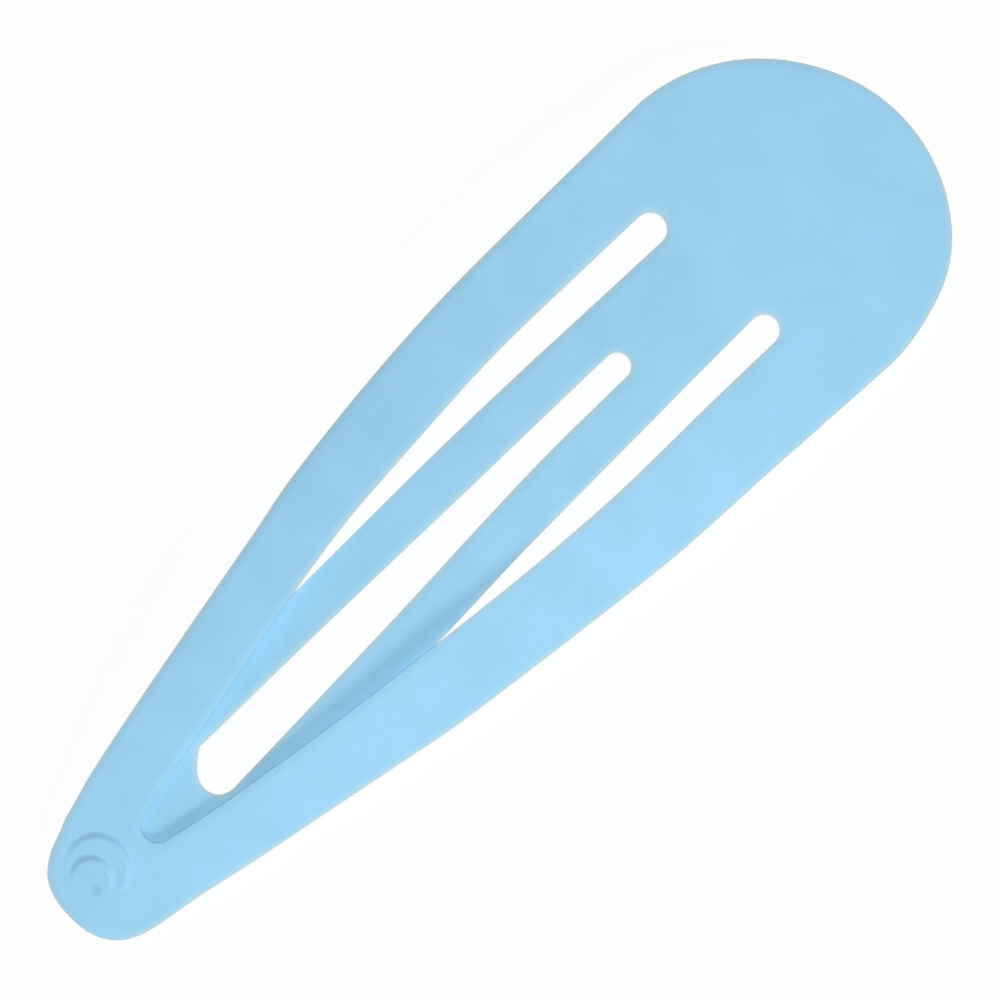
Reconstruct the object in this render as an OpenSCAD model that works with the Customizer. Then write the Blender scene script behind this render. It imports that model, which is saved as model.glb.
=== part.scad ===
// Snap hair clip of stamped and painted spring steel, closed, lying on the rim of its head and on its tip.
// x runs from the tip (-) to the head (+), y is across the clip with its left side at +, and z is up.
// The sheet arches along the clip and rolls down to both sides. The tongue sinks from the head, passes under
// the legs, and its free end stays just under the tip.

/* [Clip] */
// Length from the tip to the far end of the head
clip_len = 50; // [46:1:60]
// Thickness of the painted sheet
sheet = 0.4; // [0.35:0.05:0.5]
// Radius of the arch along the clip, at its crown
arch_r = 87; // [80:1:110]

/* [Tongue] */
// Distance from the tip to the tongue's free end
tongue_end = 4.0; // [3.9:0.05:4.2]
// Gap between the tongue's free end and the legs above it
tongue_gap = 0.06; // [0.05:0.01:0.15]
// How far the tongue sinks under the arch at its deepest
sinking = 0.95; // [0.85:0.05:1.2]
// Length over which the tongue sinks from its root
sinking_len = 17.5; // [16:0.5:18.5]

/* [Snap] */
// Distance from the tip to the line across the legs where they flex
flex_at = 33.5; // [32:0.5:35]
// Gap between the legs and the plate at that line
flex_gap = 0.06; // [0.04:0.01:0.1]

/* [Rivet] */
// Radius of the shank
shank_r = 0.7; // [0.5:0.05:0.8]
// Gap between the shank and its bores
shank_gap = 0.03; // [0.02:0.01:0.05]
// Radius of the lower step of the button
button_r = 1.5; // [1.35:0.01:1.6]
// Height of each of the button's two steps on its proud side
step_h = 0.23; // [0.18:0.01:0.26]
// Radius of the flared end below the tip
flare_r = 1.15; // [1:0.05:1.3]
// Thickness of the flared end
flare_h = 0.12; // [0.08:0.01:0.15]

/* [Hidden] */
paint = "#97cff1";

// The tables below give the plan in millimetres for a clip of this length, by the distance from the tip
plan_len = 50;
grow = clip_len / plan_len;
half = clip_len / 2;

// Outer edge of the legs: distance, left side, right side
OUTER = [
    [3.0, 2.85, -3.35],
    [5.0, 3.43, -3.68],
    [7.5, 4.00, -4.18],
    [10.0, 4.53, -4.62],
    [15.0, 5.54, -5.52],
    [17.5, 6.04, -5.97],
    [20.0, 6.57, -6.29],
    [25.0, 7.24, -6.86],
    [30.0, 7.65, -7.34],
    [35.0, 7.77, -7.54],
    [42.2, 7.83, -7.86],
];
// Inner edge of the legs: distance, left side, right side
INNER = [
    [5.49, 0.57, -0.93],
    [7.5, 1.03, -1.34],
    [10.0, 1.54, -1.73],
    [15.0, 2.60, -2.41],
    [20.0, 3.51, -2.93],
    [25.0, 3.98, -3.39],
    [30.0, 4.32, -3.65],
    [35.0, 4.33, -3.64],
    [39.25, 4.28, -3.66],
];
// Edges of the tongue: distance, left side, right side
TONGUE = [
    [6.7, 2.52, -2.82],
    [10.0, 2.80, -2.92],
    [15.0, 2.92, -2.98],
    [20.0, 3.00, -2.88],
    [25.0, 3.06, -2.63],
    [30.0, 3.03, -2.51],
    [35.0, 2.92, -2.39],
    [39.25, 2.83, -2.31],
];
// Edges of the tongue's central slot: distance, left side, right side
SLOT = [
    [9.2, 1.00, -1.28],
    [15.0, 1.02, -1.03],
    [20.0, 0.99, -0.79],
    [25.0, 0.95, -0.50],
    [29.0, 0.93, -0.33],
    [33.6, 0.90, -0.30],
];
// Rim of the head around its centre: angle from the clip's axis, radius
RIM = [
    [-90, 7.86],
    [-72, 7.90],
    [-52, 8.12],
    [-30, 8.03],
    [0, 7.80],
    [30, 7.57],
    [60, 7.64],
    [90, 7.83],
];
// Round end of the tip around its centre, from the left side to the right: angle, radius
TIP = [
    [90, 3.19],
    [105, 2.98],
    [120, 3.00],
    [145, 3.11],
    [180, 3.00],
    [220, 3.13],
    [255, 2.98],
    [270, 3.01],
];
// Wide end of the central slot around its centre, from the left side to the right: angle, radius
SLOT_END = [
    [90, 1.14],
    [112, 0.97],
    [135, 0.92],
    [158, 0.98],
    [180, 1.08],
    [202, 1.19],
    [225, 1.25],
    [247, 1.21],
    [270, 1.14],
];
// Roll of the sheet down to both sides: distance, curvature across the clip
ROLL = [
    [0, 0.042],
    [12, 0.045],
    [24, 0.042],
    [38, 0.021],
    [50, 0.010],
];
// Columns of the tables
LEFT = 1;
RIGHT = 2;
RADIUS = 1;
CURVATURE = 1;

// Centres of the round stretches of the plan, as distance and side
head_at = [42.2, 0];
tip_at = [3.0, -0.335];
notch_at = [5.49, -0.18];
slot_end_at = [9.2, -0.14];
free_end_at = [6.7, -0.15];
// Where the straight sides of the side slots end at the head, and the root line across the tongue
left_slot_end = 38.74;
right_slot_end = 39.25;
root_at = left_slot_end;
// The rim between plus and minus this angle is joined to the root, and the rest of it to the slots' ends,
// of which the right one starts this much further round
root_fan = 38;
right_fan_step = 4;
// Angle at which the rim touches the surface that the clip lies on
touch_angle = -8;

// The leg end lapped under the tip: its round end's radius, its straight edge and its gap
lap_r = 2.9;
lap_edge = 3.8;
lap_side_angle = 84;
lap_gap = 0.02;

// Places on the tip, as distance and side: the shank, the button's two steps and its dimple
shank_at = [1.95, 0];
lower_step_at = [2.36, 0.31];
upper_step_at = [1.88, 0.14];
dimple_at = [1.62, -0.34];
upper_step_r = 0.67 * button_r;
// How much higher the upper step stands than the lower one, both over the seat
upper_share = 1.8;
// The dimple is a cone: the radius of its floor, the floor's height over the seat, and its widening
dimple_r = 0.14;
dimple_floor = 0.08;
dimple_flare = 0.9;
// Direction in which both steps stand proud, from the clip's axis, and the thickness of their lowest side
proud_turn = 11;
step_base = 0.02;
// Gaps under the button, and above the flared end where the sheet's underside is hollow
seat_gap = 0.02;
flare_gap = 0.05;

// Number of segments along each stretch of an outline, and of rows across the sheet
leg_n = 26;
tip_n = 16;
stub_n = 6;
slot_end_n = 8;
root_n = 10;
edge_n = 26;
free_end_n = 12;
lap_n = 18;
leg_rows = 4;
head_rows = 7;
tongue_rows = 3;
lap_rows = 3;

// A smooth curve through one column of a table, whose first column rises
function row_below(table, x) = max([0, for (i = [1 : len(table) - 2]) if (x >= table[i][0]) i]);
function steepness(table, column, i) =
    let (before = table[max(i - 1, 0)], after = table[min(i + 1, len(table) - 1)])
    (after[column] - before[column]) / (after[0] - before[0]);
function curve(table, column, x) =
    let (
        i = row_below(table, x),
        span = table[i + 1][0] - table[i][0],
        u = (x - table[i][0]) / span,
        rise = span * steepness(table, column, i),
        next_rise = span * steepness(table, column, i + 1)
    )
    table[i][column] * (1 + 2 * u) * (1 - u) ^ 2 + rise * u * (1 - u) ^ 2
    + table[i + 1][column] * (3 - 2 * u) * u ^ 2 - next_rise * (1 - u) * u ^ 2;

function mix(a, b, u) = a + (b - a) * u;
function on_circle(centre, radius, angle) = centre + radius * [cos(angle), sin(angle)];
function edge(table, side, distance) = [distance, curve(table, side, distance)];
// Middle and half width between two edges at one distance: where a round end has its centre, and its radius
function between(a, b) = (a + b) / 2;
function half_width(a, b) = norm(a - b) / 2;
// From distance and side on the plan to x and y in the model
function place(p) = [p.x * grow - half, p.y * grow];

// The fall of the sheet's middle from its crown, which is placed so that head and tip both touch down
tip_pack = sheet + lap_gap;
lap_x = place(tip_at).x - lap_r * grow;
crown_x = (half + lap_x) / 2 - arch_r * tip_pack * tilt_factor(half / arch_r) / (half - lap_x);
function roll(x) = curve(ROLL, CURVATURE, (x + half) / grow) / grow;
function fall(p) = (p.x - crown_x) ^ 2 / (2 * arch_r) + roll(p.x) * p.y ^ 2 / 2;
function frame_slope(x) = (crown_x - x) / arch_r;
function tilt_factor(slope) = sqrt(1 + slope ^ 2);
// Height of the crown's middle over the surface that the clip lies on
crown_z = fall(place(rim(touch_angle))) + sheet / 2 * tilt_factor(frame_slope(half));
frame_mid = function (p) crown_z - fall(p);

// The tongue leaves its root along the frame, sinks under it in one soft step, and rises in a second one
// until its free end is just under the legs
root_x = place([root_at, 0]).x;
free_x = place([tongue_end, 0]).x;
rising = sinking - (sheet + tongue_gap) * tilt_factor(frame_slope(free_x));
function soft_step(u) = let (v = min(max(u, 0), 1)) v ^ 2 * (3 - 2 * v);
function tongue_drop(s) =
    let (deepest_at = sinking_len * grow)
    sinking * soft_step(s / deepest_at)
    - rising * soft_step((s - deepest_at) / (root_x - free_x - deepest_at));
plate_mid = function (p) frame_mid(p) - tongue_drop(root_x - p.x);

// The lapped leg end follows the tip's underside
lap_mid = function (p) frame_mid(p) - tip_pack * lean(frame_mid, p);

// How much longer the sheet's thickness is along z than along its normal, for a sheet with this middle
function lean(mid, p) =
    let (
        reach = 0.01,
        along = (mid(p + [reach, 0]) - mid(p - [reach, 0])) / (2 * reach),
        across = (mid(p + [0, reach]) - mid(p - [0, reach])) / (2 * reach)
    )
    sqrt(1 + along ^ 2 + across ^ 2);

// A strip of sheet is a list of columns, each from an outer to an inner plan point, cut into rows
function strip_points(columns, rows) = [for (c = columns, j = [0 : rows]) mix(c[0], c[1], j / rows)];
function sheet_side(plan, mid, side) =
    [for (q = plan) let (p = place(q)) [p.x, p.y, mid(p) + side * sheet / 2 * lean(mid, p)]];
// Four corners, clockwise from above, become two triangles of the upper side and two of the lower side
function two_sides(quads, n) = [
    for (q = quads)
    for (t = [[q[0], q[1], q[2]], [q[0], q[2], q[3]]])
    each [t, [t[2] + n, t[1] + n, t[0] + n]]
];
// A free edge of the upper side, clockwise round its quad, carries a wall down to the lower side
function walls(free_edges, n) = [
    for (e = free_edges)
    each [[e[1], e[0], e[0] + n], [e[1], e[0] + n, e[1] + n]]
];
module sheet_solid(plan, mid, quads, free_edges) {
    n = len(plan);
    polyhedron(
        points = concat(sheet_side(plan, mid, 1), sheet_side(plan, mid, -1)),
        faces = concat(two_sides(quads, n), walls(free_edges, n))
    );
}

// Quads and free edges of an open strip, whose points are numbered column by column
function strip_id(column, row, rows) = column * (rows + 1) + row;
function strip_quads(columns, rows) = [
    for (i = [0 : columns - 2], j = [0 : rows - 1])
    let (a = strip_id(i, j, rows), b = strip_id(i + 1, j, rows))
    [a, b, b + 1, a + 1]
];
function strip_ends(columns, rows) = [
    for (j = [0 : rows - 1])
    let (a = strip_id(0, j, rows), b = strip_id(columns - 1, j, rows))
    each [[a + 1, a], [b, b + 1]]
];
function strip_outer(columns, rows) = [
    for (i = [0 : columns - 2])
    [strip_id(i, 0, rows), strip_id(i + 1, 0, rows)]
];
// The inner edge is not free from the first to the second of the columns in joined
function strip_inner(columns, rows, joined) = [
    for (i = [0 : columns - 2])
    if (i < joined[0] || i >= joined[1])
    [strip_id(i + 1, rows, rows), strip_id(i, rows, rows)]
];
function strip_free_edges(columns, rows, joined = [0, 0]) = concat(
    strip_ends(columns, rows),
    strip_outer(columns, rows),
    strip_inner(columns, rows, joined)
);

// The legs, from the flex line down the right leg, round the tip and up the left leg
function leg_column(side, distance_left) =
    [
        edge(OUTER, side, mix(tip_at.x, flex_at - flex_gap / 2 / grow, distance_left)),
        edge(INNER, side, mix(notch_at.x, flex_at - flex_gap / 2 / grow, distance_left))
    ];
notch_r = half_width(edge(INNER, LEFT, notch_at.x), edge(INNER, RIGHT, notch_at.x));
function tip_column(angle) =
    [on_circle(tip_at, curve(TIP, RADIUS, angle), angle), on_circle(notch_at, notch_r, angle)];
legs_columns = concat(
    [for (i = [0 : leg_n - 1]) leg_column(RIGHT, 1 - i / leg_n)],
    [for (i = [0 : tip_n]) tip_column(mix(270, 90, i / tip_n))],
    [for (i = [1 : leg_n]) leg_column(LEFT, i / leg_n)]
);

// The head, from the left flex line round the rim to the right one
function stub_column(side, slot_end, u) =
    [
        edge(OUTER, side, mix(flex_at + flex_gap / 2 / grow, head_at.x, u)),
        edge(INNER, side, mix(flex_at + flex_gap / 2 / grow, slot_end, u))
    ];
function rim(angle) = on_circle(head_at, curve(RIM, RADIUS, angle), angle);
function side_slot_point(side, slot_end, angle) =
    let (a = edge(INNER, side, slot_end), b = edge(TONGUE, side, slot_end))
    on_circle(between(a, b), half_width(a, b), angle);
head_columns = concat(
    [for (i = [0 : stub_n - 1]) stub_column(LEFT, left_slot_end, i / stub_n)],
    [
        for (i = [0 : slot_end_n - 1])
        let (u = i / slot_end_n)
        [rim(mix(90, root_fan, u)), side_slot_point(LEFT, left_slot_end, mix(90, -90, u))]
    ],
    [
        for (i = [0 : root_n])
        let (u = i / root_n)
        [rim(mix(root_fan, -root_fan, u)), mix(edge(TONGUE, LEFT, root_at), edge(TONGUE, RIGHT, root_at), u)]
    ],
    [
        for (i = [0 : slot_end_n])
        let (u = i / slot_end_n)
        [
            rim(mix(-root_fan - right_fan_step, -90, u)),
            side_slot_point(RIGHT, right_slot_end, mix(90, -90, u))
        ]
    ],
    [for (i = [1 : stub_n]) stub_column(RIGHT, right_slot_end, 1 - i / stub_n)]
);
root_first = stub_n + slot_end_n;

// The tongue, once round its slot from the left end of the root, clockwise
slot_head_at = SLOT[len(SLOT) - 1][0];
function slot_head_point(angle) =
    let (a = edge(SLOT, LEFT, slot_head_at), b = edge(SLOT, RIGHT, slot_head_at))
    on_circle(between(a, b), half_width(a, b), angle);
function slot_end_point(angle) = on_circle(slot_end_at, curve(SLOT_END, RADIUS, angle), angle);
free_half = [
    free_end_at.x - tongue_end,
    half_width(edge(TONGUE, LEFT, free_end_at.x), edge(TONGUE, RIGHT, free_end_at.x))
];
function free_end_point(angle) = free_end_at + [free_half.x * cos(angle), free_half.y * sin(angle)];
function edge_column(side, u) =
    [
        edge(TONGUE, side, mix(root_at, free_end_at.x, u)),
        edge(SLOT, side, mix(slot_head_at, slot_end_at.x, u))
    ];
tongue_columns = concat(
    [
        for (i = [0 : root_n])
        let (u = i / root_n)
        [
            mix(edge(TONGUE, LEFT, root_at), edge(TONGUE, RIGHT, root_at), u),
            slot_head_point(mix(90, -90, u))
        ]
    ],
    [for (i = [1 : edge_n]) edge_column(RIGHT, i / edge_n)],
    [
        for (i = [1 : free_end_n])
        let (angle = mix(270, 90, i / free_end_n))
        [free_end_point(angle), slot_end_point(angle)]
    ],
    [for (i = [1 : edge_n - 1]) edge_column(LEFT, 1 - i / edge_n)]
);

// The head and the tongue are one sheet: the tongue's points on the root line are the head's
head_count = len(head_columns) * (head_rows + 1);
tongue_n = len(tongue_columns);
function tongue_id(column, row) =
    let (i = column % tongue_n)
    row > 0
    ? head_count + i * tongue_rows + row - 1
    : i <= root_n
    ? strip_id(root_first + i, head_rows, head_rows)
    : head_count + tongue_n * tongue_rows + i - root_n - 1;
plate_points = concat(
    strip_points(head_columns, head_rows),
    [for (c = tongue_columns, j = [1 : tongue_rows]) mix(c[0], c[1], j / tongue_rows)],
    [for (i = [root_n + 1 : tongue_n - 1]) tongue_columns[i][0]]
);
plate_quads = concat(
    strip_quads(len(head_columns), head_rows),
    [
        for (i = [0 : tongue_n - 1], j = [0 : tongue_rows - 1])
        [tongue_id(i, j), tongue_id(i + 1, j), tongue_id(i + 1, j + 1), tongue_id(i, j + 1)]
    ]
);
plate_free_edges = concat(
    strip_free_edges(len(head_columns), head_rows, joined = [root_first, root_first + root_n]),
    [for (i = [root_n : tongue_n - 1]) [tongue_id(i, 0), tongue_id(i + 1, 0)]],
    [for (i = [0 : tongue_n - 1]) [tongue_id(i + 1, tongue_rows), tongue_id(i, tongue_rows)]]
);

// Stands its children on the middle of the tip's sheet at the shank, along the sheet's normal
module on_tip() {
    p = place(shank_at);
    translate([p.x, p.y, frame_mid(p)]) rotate([0, -atan(frame_slope(p.x)), 0]) children();
}
module shank_bore() {
    reach = 3 * sheet;
    on_tip() translate([0, 0, -2 * reach]) cylinder(r = shank_r + shank_gap, h = 3 * reach, $fn = 48);
}

module plate() {
    color(paint) sheet_solid(plate_points, plate_mid, plate_quads, plate_free_edges);
}

module legs() {
    n = len(legs_columns);
    color(paint) difference() {
        sheet_solid(
            strip_points(legs_columns, leg_rows),
            frame_mid,
            strip_quads(n, leg_rows),
            strip_free_edges(n, leg_rows)
        );
        shank_bore();
    }
}

// The end of the second leg, under the tip
module lap() {
    columns = [
        for (i = [0 : lap_n])
        let (outer = on_circle(tip_at, lap_r, mix(360 - lap_side_angle, lap_side_angle, i / lap_n)))
        [outer, [lap_edge, outer.y]]
    ];
    n = len(columns);
    color(paint) difference() {
        sheet_solid(
            strip_points(columns, lap_rows),
            lap_mid,
            strip_quads(n, lap_rows),
            strip_free_edges(n, lap_rows)
        );
        shank_bore();
    }
}

// Moves its children from the shank to a place on the tip, at a height over the middle of the tip's sheet
module from_shank(at, height) {
    aside = (at - shank_at) * grow;
    translate([aside.x, aside.y, height]) children();
}

// A round step whose top slopes down from its proud side to its base
module step(r, h) {
    hull() {
        cylinder(r = r, h = step_base, $fn = 64);
        rotate([0, 0, proud_turn]) translate([0, 0, h / 2]) rotate([0, -atan(h / (2 * r)), 0])
            cylinder(r = r, h = step_base, $fn = 64);
    }
}

module rivet() {
    seat = sheet / 2 + seat_gap;
    foot = -sheet / 2 - tip_pack - flare_gap - flare_h;
    color(paint) on_tip() difference() {
        union() {
            from_shank(lower_step_at, seat) step(button_r * grow, step_h);
            from_shank(upper_step_at, seat) step(upper_step_r * grow, upper_share * step_h);
            from_shank(shank_at, foot) cylinder(r = flare_r, h = flare_h, $fn = 64);
            from_shank(shank_at, foot) cylinder(r = shank_r, h = seat + step_base - foot, $fn = 48);
        }
        from_shank(dimple_at, seat + dimple_floor)
            cylinder(r1 = dimple_r, r2 = dimple_r + dimple_flare * 2 * step_h, h = 2 * step_h, $fn = 32);
    }
}

plate();
legs();
lap();
rivet();
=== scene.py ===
# %% [markdown]
# # A snap hair clip in painted spring steel
#
# The real clip starts as a flat blank, punched from a strip of spring steel 0.4 millimetres thick. Four
# things then give it its look: the press that arches it, the rivet that closes its tip, the soft edges that
# the punch leaves, and the pastel paint that is baked on at the end.
#
# This lesson follows the factory. It draws the flat blanks, gives them their punched edges, adds the rivet,
# builds the press out of Geometry Nodes, mixes the paint, and then presses and paints every piece. The packed
# model is loaded first, because each piece takes the place of a part in it.

import math

import bmesh
import bpy
import numpy as np
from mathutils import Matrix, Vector
from mathutils.geometry import delaunay_2d_cdt


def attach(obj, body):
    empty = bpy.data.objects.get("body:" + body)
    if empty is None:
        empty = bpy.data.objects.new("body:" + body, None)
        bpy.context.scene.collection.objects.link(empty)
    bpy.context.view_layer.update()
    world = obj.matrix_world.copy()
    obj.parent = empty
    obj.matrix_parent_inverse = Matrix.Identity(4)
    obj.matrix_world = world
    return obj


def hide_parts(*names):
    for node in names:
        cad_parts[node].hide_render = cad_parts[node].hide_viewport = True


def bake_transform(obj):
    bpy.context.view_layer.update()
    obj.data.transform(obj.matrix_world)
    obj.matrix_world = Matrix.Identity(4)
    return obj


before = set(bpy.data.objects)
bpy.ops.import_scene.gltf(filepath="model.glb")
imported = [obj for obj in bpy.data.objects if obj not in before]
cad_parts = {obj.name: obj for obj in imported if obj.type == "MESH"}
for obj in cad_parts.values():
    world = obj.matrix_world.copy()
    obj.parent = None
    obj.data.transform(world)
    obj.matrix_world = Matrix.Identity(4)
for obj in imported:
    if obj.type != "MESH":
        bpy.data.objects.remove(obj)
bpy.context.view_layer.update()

# %% [markdown]
# ## The plan of the clip
#
# A stamping is drawn flat, as a die maker draws it. The long edges could be Bezier curves, but a short table
# of offsets along the clip is easier to check with a ruler: each row gives the distance from the tip, and
# how far the edge lies to the left and to the right of the clip's axis. A smooth curve runs through the rows.
# The round stretches are arcs around a centre.

# %% Sizes of the flat blank, in millimetres
MM = 0.001
CLIP_LENGTH = 50.0
SHEET = 0.4
LEFT = 1
RIGHT = 2

# Outer edge of the side legs: distance from the tip, left side, right side
OUTER = [
    (3.0, 2.85, -3.35),
    (5.0, 3.43, -3.68),
    (7.5, 4.00, -4.18),
    (10.0, 4.53, -4.62),
    (15.0, 5.54, -5.52),
    (17.5, 6.04, -5.97),
    (20.0, 6.57, -6.29),
    (25.0, 7.24, -6.86),
    (30.0, 7.65, -7.34),
    (35.0, 7.77, -7.54),
    (42.2, 7.83, -7.86),
]
# Inner edge of the side legs
INNER = [
    (5.49, 0.57, -0.93),
    (7.5, 1.03, -1.34),
    (10.0, 1.54, -1.73),
    (15.0, 2.60, -2.41),
    (20.0, 3.51, -2.93),
    (25.0, 3.98, -3.39),
    (30.0, 4.32, -3.65),
    (35.0, 4.33, -3.64),
    (39.25, 4.28, -3.66),
]
# Edges of the tongue
TONGUE = [
    (6.7, 2.52, -2.82),
    (10.0, 2.80, -2.92),
    (15.0, 2.92, -2.98),
    (20.0, 3.00, -2.88),
    (25.0, 3.06, -2.63),
    (30.0, 3.03, -2.51),
    (35.0, 2.92, -2.39),
    (39.25, 2.83, -2.31),
]
# Edges of the long slot in the tongue
SLOT = [
    (9.2, 1.00, -1.28),
    (15.0, 1.02, -1.03),
    (20.0, 0.99, -0.79),
    (25.0, 0.95, -0.50),
    (29.0, 0.93, -0.33),
    (33.6, 0.90, -0.30),
]
# Round stretches: angle in degrees from the clip's axis, radius
RIM = [
    (-90, 7.86),
    (-72, 7.90),
    (-52, 8.12),
    (-30, 8.03),
    (0, 7.80),
    (30, 7.57),
    (60, 7.64),
    (90, 7.83),
]
TIP = [
    (90, 3.19),
    (105, 2.98),
    (120, 3.00),
    (145, 3.11),
    (180, 3.00),
    (220, 3.13),
    (255, 2.98),
    (270, 3.01),
]
SLOT_END = [
    (90, 1.14),
    (112, 0.97),
    (135, 0.92),
    (158, 0.98),
    (180, 1.08),
    (202, 1.19),
    (225, 1.25),
    (247, 1.21),
    (270, 1.14),
]
# Their centres, as distance from the tip and side
HEAD_AT = (42.2, 0.0)
TIP_AT = (3.0, -0.335)
NOTCH_AT = (5.49, -0.18)
SLOT_END_AT = (9.2, -0.14)
FREE_END_AT = (6.7, -0.15)
# Where the straight sides of the slots end at the head, and where the tongue ends
LEFT_SLOT_TOP = 38.74
RIGHT_SLOT_TOP = 39.25
LONG_SLOT_TOP = 33.6
TONGUE_END = 4.0
# The legs are made apart from the head, and meet it at this distance from the tip
SEAM_AT = 38.0
print("plan:", CLIP_LENGTH, "mm long,", OUTER[-1][LEFT] - OUTER[-1][RIGHT], "mm wide at the head")

# %% A smooth curve through one column of a table


def curve_value(table, column, at):
    """The value at one place on a smooth curve through a column of a table."""
    rows = np.array(table)
    i = int(np.clip(np.searchsorted(rows[:, 0], at, side="right") - 1, 0, len(rows) - 2))
    slopes = []
    for k in (i, i + 1):
        before = rows[max(k - 1, 0)]
        after = rows[min(k + 1, len(rows) - 1)]
        slopes.append((after[column] - before[column]) / (after[0] - before[0]))
    span = rows[i + 1][0] - rows[i][0]
    u = (at - rows[i][0]) / span
    start = rows[i][column] * (1 + 2 * u) + slopes[0] * span * u
    end = rows[i + 1][column] * (3 - 2 * u) - slopes[1] * span * (1 - u)
    return start * (1 - u) ** 2 + end * u**2


print("left side at the middle of the clip:", round(curve_value(OUTER, LEFT, 25.0), 2), "mm")

# %% [markdown]
# ## Outlines from stretches
#
# Each outline is a closed chain of stretches, and a stretch is a function of a number from 0 to 1. Sampling
# them at one even spacing gives walls whose quads are all alike, so highlights run along them without
# kinks. The two short straight stretches where the legs meet the head are marked as seams, because a
# punched edge is rounded there on neither side: the sheet simply goes on.

# %% Stretches and outlines
EDGE_SPACING = 0.14
SEAM_SPACING = 0.45
# Points at which a stretch is measured before it is divided evenly
MEASURED_POINTS = 400


def along_table(table, column, start, end):
    """A stretch of a long edge, from one distance to another."""
    return lambda u: (start + (end - start) * u, curve_value(table, column, start + (end - start) * u))


def around(centre, radius_at, start, end):
    """A round stretch, from one angle to another, where radius_at gives the radius for an angle."""

    def point(u):
        angle = start + (end - start) * u
        turn = math.radians(angle)
        radius = radius_at(angle)
        return (centre[0] + radius * math.cos(turn), centre[1] + radius * math.sin(turn))

    return point


def across_slot(table_a, table_b, distance, columns, start, end):
    """The half circle that closes a slot between two edges, at one distance."""
    a = curve_value(table_a, columns[0], distance)
    b = curve_value(table_b, columns[1], distance)
    return around((distance, (a + b) / 2), lambda angle: abs(a - b) / 2, start, end)


def straight(start, end):
    """A straight stretch between two points."""
    return lambda u: (start[0] + (end[0] - start[0]) * u, start[1] + (end[1] - start[1]) * u)


def sampled(stretch, spacing):
    """Evenly spaced points along a stretch, without the last one."""
    dense = np.array([stretch(u) for u in np.linspace(0, 1, MEASURED_POINTS)])
    steps = np.linalg.norm(np.diff(dense, axis=0), axis=1)
    run = np.concatenate([[0], np.cumsum(steps)])
    count = max(2, math.ceil(run[-1] / spacing))
    at = np.linspace(0, run[-1], count + 1)[:-1]
    return np.column_stack([np.interp(at, run, dense[:, 0]), np.interp(at, run, dense[:, 1])])


def outline(stretches):
    """A closed outline: its points, and for each one the direction in which the edge is drawn back from it.

    Each stretch comes with whether it is a seam.
    """
    parts = [sampled(stretch, SEAM_SPACING if is_seam else EDGE_SPACING) for stretch, is_seam in stretches]
    points = np.vstack(parts)
    tangent = np.roll(points, -1, axis=0) - np.roll(points, 1, axis=0)
    tangent /= np.linalg.norm(tangent, axis=1)[:, None]
    inward = np.column_stack([-tangent[:, 1], tangent[:, 0]])
    first = 0
    for part, (_, is_seam) in zip(parts, stretches):
        if is_seam:
            # Only a seam's two ends are drawn back, along the seam, with the punched edges beside them
            last = (first + len(part)) % len(points)
            inward[first : first + len(part)] = 0
            along = points[first + 1] - points[first]
            inward[first] = along / np.linalg.norm(along)
            inward[last] = -inward[first]
        first += len(part)
    return points, inward


print("sampling every", EDGE_SPACING, "mm, which is about a third of the sheet's thickness")

# %% The outline of the head and the tongue
# Material lies on the left of each stretch: outlines run counter-clockwise, and holes clockwise.
FREE_HALF_LENGTH = FREE_END_AT[0] - TONGUE_END
FREE_HALF_WIDTH = (TONGUE[0][LEFT] - TONGUE[0][RIGHT]) / 2


def edge_at(table, column, distance):
    """The point of a long edge at one distance."""
    return (distance, curve_value(table, column, distance))


def free_end(u):
    """The tongue's free end, half an ellipse from its left side to its right side."""
    angle = math.radians(90 + 180 * u)
    return (
        FREE_END_AT[0] + FREE_HALF_LENGTH * math.cos(angle),
        FREE_END_AT[1] + FREE_HALF_WIDTH * math.sin(angle),
    )


head_outline = outline([
    (along_table(OUTER, RIGHT, SEAM_AT, HEAD_AT[0]), False),
    (around(HEAD_AT, lambda angle: curve_value(RIM, 1, angle), -90, 90), False),
    (along_table(OUTER, LEFT, HEAD_AT[0], SEAM_AT), False),
    (straight(edge_at(OUTER, LEFT, SEAM_AT), edge_at(INNER, LEFT, SEAM_AT)), True),
    (along_table(INNER, LEFT, SEAM_AT, LEFT_SLOT_TOP), False),
    (across_slot(INNER, TONGUE, LEFT_SLOT_TOP, (LEFT, LEFT), 90, -90), False),
    (along_table(TONGUE, LEFT, LEFT_SLOT_TOP, FREE_END_AT[0]), False),
    (free_end, False),
    (along_table(TONGUE, RIGHT, FREE_END_AT[0], RIGHT_SLOT_TOP), False),
    (across_slot(TONGUE, INNER, RIGHT_SLOT_TOP, (RIGHT, RIGHT), 90, -90), False),
    (along_table(INNER, RIGHT, RIGHT_SLOT_TOP, SEAM_AT), False),
    (straight(edge_at(INNER, RIGHT, SEAM_AT), edge_at(OUTER, RIGHT, SEAM_AT)), True),
])
long_slot = outline([
    (along_table(SLOT, RIGHT, LONG_SLOT_TOP, SLOT_END_AT[0]), False),
    (around(SLOT_END_AT, lambda angle: curve_value(SLOT_END, 1, angle), 270, 90), False),
    (along_table(SLOT, LEFT, SLOT_END_AT[0], LONG_SLOT_TOP), False),
    (across_slot(SLOT, SLOT, LONG_SLOT_TOP, (LEFT, RIGHT), 90, -90), False),
])
print("head and tongue:", len(head_outline[0]), "points outside,", len(long_slot[0]), "round the slot")

# %% The outlines of the legs, and of the leg end that is lapped under the tip
NOTCH_RADIUS = (INNER[0][LEFT] - INNER[0][RIGHT]) / 2
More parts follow.
